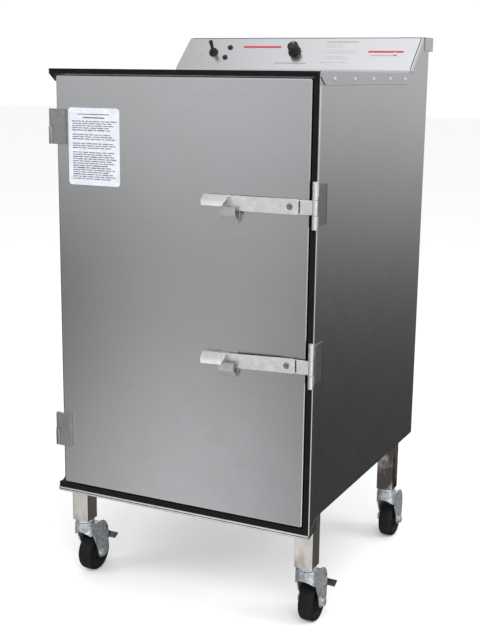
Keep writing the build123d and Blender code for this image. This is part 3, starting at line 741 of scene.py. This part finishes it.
# ---- casters ------------------------------------------------------------------------------------------
def caster_wheel(corner):
    """Soft tyre with rounded shoulders and moulding lines on a dished core with a bearing boss."""
    low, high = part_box(corner + "_wheel")
    axle = (low + high) / 2
    r = (high.z - low.z) / 2 / MM
    half = 16.0
    right = [
        (6.3, 20.2), (9.0, 20.2), (9.4, 19.6), (9.6, 16.0), (11.5, 15.8), (12.0, 13.4), (14.0, 12.2),
        (26.5, 12.2), (29.5, 13.6), (30.6, 15.4), (32.0, 15.7), (33.0, 15.0), (34.0, 15.6),
        (38.5, half), (r - 2.8, half - 0.9), (r - 1.0, half - 3.2), (r - 0.2, half - 6.5), (r, half - 9.5),
    ]
    profile = [(a * MM, b * MM) for a, b in right] + [(a * MM, -b * MM) for a, b in reversed(right)]
    bm = bmesh.new()
    revolve(bm, profile, lambda a, b, h: axle + Vector((h, a, b)), steps=72)
    add(corner + "_tyre", mesh_of(bm, corner + "_tyre", 50), tyre_black, corner + "_wheel")


def brake_pedal(corner):
    """Grip ribs across the foot lever's tread."""
    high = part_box(corner + "_brake_pedal")[1]
    pin = Vector(joints[corner + "_brake_lift"]["pos_m"])
    formed(corner + "_brake_pedal", pedal_steel, 0.5 * MM)
    slope = Vector((0, 13.5, 7)).normalized()
    rise = Vector((0, -7, 13.5)).normalized()
    bm = bmesh.new()
    for i in range(3):
        at = pin + Vector((0, 11, -28.5)) * MM + slope * (3.6 + 4.2 * i) * MM + rise * 0.2 * MM
        rib = [(0.9 * MM, pin.x + 18 * MM), (0.9 * MM, high.x - 1.5 * MM)]
        revolve(bm, rib, lambda a, b, h, at=at: Vector((h, at.y + a, at.z + b)), steps=10)
    add(corner + "_grip", mesh_of(bm, corner + "_grip"), pedal_steel, body=corner + "_brake")


for corner in corners:
    caster_wheel(corner)
    formed(corner + "_fork", zinc, 0.7 * MM, 3)
for corner in ("front_left", "front_right"):
    brake_pedal(corner)
formed("caster_stems", zinc, 0.5 * MM)


# ---- console ------------------------------------------------------------------------------------------
fascia_normal = Vector(joints["thermostat_turn"]["axis"]).normalized()
fascia_up = Vector((0, fascia_normal.z, -fascia_normal.y))
knob_at = Vector(joints["thermostat_turn"]["pos_m"])
KNOB_X, KNOB_V = -2 * MM, 61 * MM
fascia_origin = knob_at - fascia_up * KNOB_V - Vector((KNOB_X, 0, 0))


def on_fascia(x, v, h):
    """A point on the sloped panel: x across, v up the slope, h out from it."""
    return fascia_origin + Vector((x, 0, 0)) + fascia_up * v + fascia_normal * h


def thermostat_knob():
    """Fluted knob with a skirt and a raised pale pointer line."""
    flutes = 20

    def fluted(r, h, angle):
        if r < 9 * MM or h < 4.5 * MM or h > 20.6 * MM:
            return r
        return r - 0.75 * MM * (0.5 + 0.5 * math.cos(flutes * angle)) ** 2

    profile = [(3.2, 1.3), (15.6, 1.3), (15.9, 1.9), (15.7, 3.0), (14.4, 3.7), (13.9, 4.6), (13.7, 9),
               (13.5, 15), (13.3, 20.0), (12.6, 21.6), (11.4, 22.3), (6, 22.1), (0.4, 22.0)]
    bm = bmesh.new()
    revolve(bm, [(a * MM, b * MM) for a, b in profile],
            lambda a, b, h: on_fascia(KNOB_X + a, KNOB_V + b, h), steps=160, radius_at=fluted)
    add("knob_grip", mesh_of(bm, "knob_grip", 40), knob_black, "thermostat_knob")
    bm = bmesh.new()
    points = [(-0.9, 2.5), (0.9, 2.5), (0.9, 12.2), (-0.9, 12.2)]
    low = [bm.verts.new(on_fascia(KNOB_X + x * MM, KNOB_V + v * MM, 21.6 * MM)) for x, v in points]
    high = [bm.verts.new(on_fascia(KNOB_X + x * MM, KNOB_V + v * MM, 22.9 * MM)) for x, v in points]
    bm.faces.new(low)
    bm.faces.new(high)
    for i in range(4):
        j = (i + 1) % 4
        bm.faces.new((low[i], low[j], high[j], high[i]))
    pointer = add("knob_pointer", mesh_of(bm, "knob_pointer"), print_pale, body="knob")
    bevelled(pointer, 0.2 * MM)


def toggle_lever():
    """Bat-shaped lever that leaves its ribbed boot through a ball."""
    pivot = Vector(joints["switch_toggle"]["pos_m"])
    tilt = math.radians(14)
    axis = (fascia_normal * math.cos(tilt) + fascia_up * math.sin(tilt)).normalized()
    across = Vector((1, 0, 0))
    third = axis.cross(across)
    profile = [(7 * math.sin(a), -7 * math.cos(a)) for a in (0.05, 0.4, 0.8, 1.2, 1.57, 1.95, 2.3)]
    profile += [(4.6, 6.0), (4.0, 8.0), (4.1, 14), (4.7, 20), (5.1, 24), (4.9, 27), (3.6, 28.8), (0.4, 29.4)]
    bm = bmesh.new()
    revolve(bm, [(a * MM, b * MM) for a, b in profile],
            lambda a, b, h: pivot + across * a + third * b + axis * h, steps=32)
    add("toggle_bat", mesh_of(bm, "toggle_bat", 60), knob_black, "toggle_lever")
    middle = pivot - fascia_normal * 5 * MM
    boot = [(11.8, 0.05), (11.9, 1.3), (11.2, 1.9), (11.5, 2.7), (10.7, 3.4), (10.9, 4.3), (10.0, 5.2),
            (9.6, 6.6), (9.0, 7.0), (7.5, 7.0), (7.35, 6.4), (7.35, 0.4)]
    bm = bmesh.new()
    revolve(bm, [(a * MM, b * MM) for a, b in boot],
            lambda a, b, h: middle + across * a + fascia_up * b + fascia_normal * h, steps=40)
    boot_piece = add("switch_boot", mesh_of(bm, "switch_boot", 40), knob_black, body="cabinet")


def print_on(name, material, quads, place, body):
    """Flat printed shapes, each given by four (a, b) corners, as a film 0.12 mm proud of the surface."""
    bm = bmesh.new()
    for corner_points in quads:
        ends = [[bm.verts.new(place(a, b, h)) for a, b in corner_points] for h in (-0.2 * MM, 0.12 * MM)]
        bm.faces.new(ends[0])
        bm.faces.new(ends[1])
        for i in range(4):
            j = (i + 1) % 4
            bm.faces.new((ends[0][i], ends[0][j], ends[1][j], ends[1][i]))
    piece = add(name, mesh_of(bm, name), material, body=body)


def bar(x0, x1, v, height):
    x0, x1, v, h = x0 * MM, x1 * MM, v * MM, height * MM / 2
    return [(x0, v - h), (x1, v - h), (x1, v + h), (x0, v + h)]


def fascia_marks():
    """Plain graduation ticks round the knob, plain rules and two plain red bars; no lettering."""
    ticks = []
    for i in range(13):
        angle = math.radians(225 - 270 * i / 12)
        c, s = math.cos(angle), math.sin(angle)
        r0, r1, half = 18.5 * MM, (22.7 if i % 3 == 0 else 21.1) * MM, 0.35 * MM
        corner_points = [(r0, -half), (r1, -half), (r1, half), (r0, half)]
        ticks.append([(KNOB_X + a * c - b * s, KNOB_V + a * s + b * c) for a, b in corner_points])
    print_on("dial_ticks", print_pale, ticks, on_fascia, "cabinet")
    dark = [bar(73, 153, 94.5, 1.6), bar(-43, 40, 21, 1.4)]
    print_on("dark_rules", print_grey, dark, on_fascia, "cabinet")
    faint = [bar(70, 126, 78, 1.2), bar(68, 157, 58, 1.4), bar(76, 148, 65, 1.0), bar(87, 142, 37, 1.4),
             bar(75, 138, 25, 1.2), bar(80, 132, 44, 0.9), bar(-232, -196, 22, 1.2), bar(74, 120, 85, 0.8)]
    print_on("faint_rules", print_pale, faint, on_fascia, "cabinet")
    # Painted shadow: near-black lines along the fascia's top and right edges stand for the shadow gaps at its
    # seams.
    x0, x1, v0, v1 = 302.3 * MM, 304.3 * MM, 2 * MM, 108 * MM
    edge = [bar(-304, 303, 108.0, 1.4), [(x0, v0), (x1, v0), (x1, v1), (x0, v1)]]
    print_on("fascia_shadow_lines", painted_shadow_black, edge, on_fascia, "cabinet")
    red = [bar(-145, -43, 77, 6.5), bar(186, 272, 61, 6.0), bar(196, 262, 48, 1.4)]
    print_on("red_bars", print_red, red, on_fascia, "cabinet")


def label_rules():
    """Rows of plain dashes on the white label, in blocks; no lettering."""
    low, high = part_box("door_label")
    middle = (low.x + high.x) / 2

    def on_label(x, z, h):
        return Vector((x, low.y - h, z))

    def row(x0, x1, z, thick):
        return [(x0, z - thick / 2), (x1, z - thick / 2), (x1, z + thick / 2), (x0, z + thick / 2)]

    heads = [row(middle - 39 * MM, middle + 38 * MM, high.z - 13 * MM, 1.5 * MM),
             row(middle - 26 * MM, middle + 27 * MM, high.z - 20 * MM, 2.2 * MM)]
    pale, bold = [], []
    gaps = (5, 9, 13)
    for i in range(27):
        if i in gaps:
            continue
        z = high.z - (27.5 + 4.55 * i) * MM
        x = low.x + 10 * MM
        end = high.x - (8 + (11 * i) % 17) * MM
        k = 0
        while x < end - 3 * MM:
            length = (6 + (7 * i + 5 * k * k + 3 * k) % 13) * MM
            stroke = row(x, min(x + length, end), z, 2.0 * MM)
            (bold if i in (4, 16, 20, 21) and k % 2 or k == 0 and i % 4 == 0 else pale).append(stroke)
            x += length + (1.6 + (3 * i + k) % 3 * 0.6) * MM
            k += 1
    print_on("label_heads", label_dark, heads + bold, on_label, "door")
    print_on("label_rows", label_grey, pale, on_label, "door")


thermostat_knob()
toggle_lever()
fascia_marks()
label_rules()


# ---- floor, light and camera --------------------------------------------------------------------------
def plain(name, color, rough):
    m = Material(name, color, roughness=rough)
    return m.mat


def floor():
    """A pale floor; steel reflects the studio's own floor tone from world_light instead."""
    mesh = bpy.data.meshes.new("floor")
    half, z = 30.0, cad_low[2]
    corner_points = [(-half, -half, z), (half, -half, z), (half, half, z), (-half, half, z)]
    mesh.from_pydata(corner_points, [], [(0, 1, 2, 3)])
    obj = bpy.data.objects.new("floor", mesh)
    pale = plain("floor_pale", (0.90, 0.90, 0.90), 0.9)
    shader = pale.node_tree.nodes["Principled BSDF"]
    shader.inputs["Emission Color"].default_value = (1, 1, 1, 1)
    shader.inputs["Emission Strength"].default_value = 0.14
    mesh.materials.append(pale)
    bpy.context.scene.collection.objects.link(obj)
    obj.visible_glossy = False


def backdrop():
    """A white wall far behind, seen by the camera only."""
    mesh = bpy.data.meshes.new("backdrop")
    half, y, z = 60.0, 29.0, cad_low[2] - 1
    mesh.from_pydata([(-half, y, z), (half, y, z), (half, y, z + 40), (-half, y, z + 40)], [], [(0, 1, 2, 3)])
    mat = bpy.data.materials.new("backdrop_white")
    mat.use_nodes = True
    shader = mat.node_tree.nodes["Principled BSDF"]
    shader.inputs["Base Color"].default_value = (0, 0, 0, 1)
    shader.inputs["Emission Color"].default_value = (1, 1, 1, 1)
    shader.inputs["Emission Strength"].default_value = 1.0
    mesh.materials.append(mat)
    obj = bpy.data.objects.new("backdrop", mesh)
    for ray in ("glossy", "diffuse", "shadow", "transmission"):
        setattr(obj, "visible_" + ray, False)
    bpy.context.scene.collection.objects.link(obj)


def world_light():
    """A soft studio by direction: white overhead, a dark floor behind, a grey one in front."""
    world = bpy.data.worlds.new("studio")
    bpy.context.scene.world = world
    world.use_nodes = True
    tree = world.node_tree

    def node(kind):
        return tree.nodes.new("ShaderNode" + kind)

    def ramp(fac, *stops):
        made = node("ValToRGB")
        elements = made.color_ramp.elements
        while len(elements) < len(stops):
            elements.new(0.5)
        for element, (at, tone) in zip(elements, stops):
            element.position = (at + 1) / 2
            element.color = (tone, tone, tone, 1)
        shift = node("MapRange")
        shift.inputs["From Min"].default_value = -1
        tree.links.new(fac, shift.inputs["Value"])
        tree.links.new(shift.outputs["Result"], made.inputs["Fac"])
        return made.outputs["Color"]

    def mix(fac, a, b, blend="MIX"):
        made = node("Mix")
        made.data_type, made.blend_type = "RGBA", blend
        for socket, value in ((made.inputs["Factor"], fac), (made.inputs[6], a), (made.inputs[7], b)):
            if isinstance(value, float):
                socket.default_value = value
            else:
                tree.links.new(value, socket)
        return made.outputs[2]

    split = node("SeparateXYZ")
    tree.links.new(node("TexCoord").outputs["Generated"], split.inputs["Vector"])
    x, y, z = (split.outputs[axis] for axis in "XYZ")
    front = ramp(z, *FRONT)
    across = mix(ramp(z, *FRONT_FADE), ramp(x, *FRONT_ACROSS), ramp(x, (-1, 0.9), (1, 0.9)))
    front = mix(1.0, front, across, "MULTIPLY")
    behind = ramp(z, *BEHIND)
    low = mix(ramp(y, (-0.25, 0.0), (0.25, 1.0)), front, behind)
    top = ramp(x, *OVERHEAD)
    sky = mix(ramp(z, (0.45, 0.0), (0.8, 1.0)), low, top)
    background = tree.nodes["Background"]
    tree.links.new(sky, background.inputs["Color"])
    background.inputs["Strength"].default_value = 1.0


FRONT = [(-0.6, 0.92), (-0.36, 0.88), (-0.33, 0.77), (-0.27, 0.56), (-0.2, 0.525), (-0.11, 0.64),
         (-0.02, 0.79), (0.2, 0.95)]
FRONT_ACROSS = [(-0.85, 0.1), (-0.66, 0.17), (-0.53, 0.72), (-0.43, 1.05), (-0.36, 1.0), (-0.3, 0.7),
                (-0.1, 0.2), (0.2, 0.9), (0.9, 1.5)]
FRONT_FADE = [(-0.12, 0.0), (0.02, 0.8)]
BEHIND = [(-0.4, 0.05), (-0.26, 0.06), (-0.187, 0.118), (-0.14, 0.255), (-0.08, 0.46), (-0.03, 0.68),
          (0.1, 0.8)]
OVERHEAD = [(-0.6, 0.3), (-0.5, 0.42), (-0.43, 0.84), (-0.3, 1.1), (0.3, 1.05)]


def soft_light(name, place, aim, size, power):
    data = bpy.data.lights.new(name, "AREA")
    data.shape = "RECTANGLE"
    data.size, data.size_y = size
    data.energy = power
    obj = bpy.data.objects.new(name, data)
    obj.location = place
    obj.visible_glossy = False
    obj.rotation_euler = (Vector(aim) - Vector(place)).to_track_quat("-Z", "Y").to_euler()
    bpy.context.scene.collection.objects.link(obj)


def camera():
    """The photograph's viewpoint: at roof height, right of the door, looking 12 degrees down."""
    yaw, pitch, roll = (math.radians(a) for a in (26.0, 12.39, 0.68))
    back = Vector((math.sin(yaw) * math.cos(pitch), -math.cos(yaw) * math.cos(pitch), math.sin(pitch)))
    right = (-back).cross(Vector((0, 0, 1))).normalized()
    up = right.cross(-back)
    rolled_right = math.cos(roll) * right + math.sin(roll) * up
    rolled_up = -math.sin(roll) * right + math.cos(roll) * up
    data = bpy.data.cameras.new("camera")
    data.lens = 63.14
    data.clip_end = 100
    obj = bpy.data.objects.new("camera", data)
    turn = Matrix((rolled_right, rolled_up, back)).transposed().to_4x4()
    place = Vector((centre_x + 1.107, door_face_y - 1.9728, roof_z - 0.0057))
    obj.matrix_world = Matrix.Translation(place) @ turn
    bpy.context.scene.collection.objects.link(obj)
    bpy.context.scene.camera = obj


bpy.context.scene.view_settings.view_transform = "Standard"
floor()
backdrop()
world_light()
camera()
soft_light("key", (1.6, -3.2, 3.2), (0, 0, 0.7), (2.4, 2.4), 90)
soft_light("fill", (-2.6, -2.4, 1.8), (0, 0, 0.6), (1.8, 2.4), 40)
soft_light("side", (3.4, 0.4, 2.4), (0.3, 0, 0.9), (2.0, 1.6), 50)
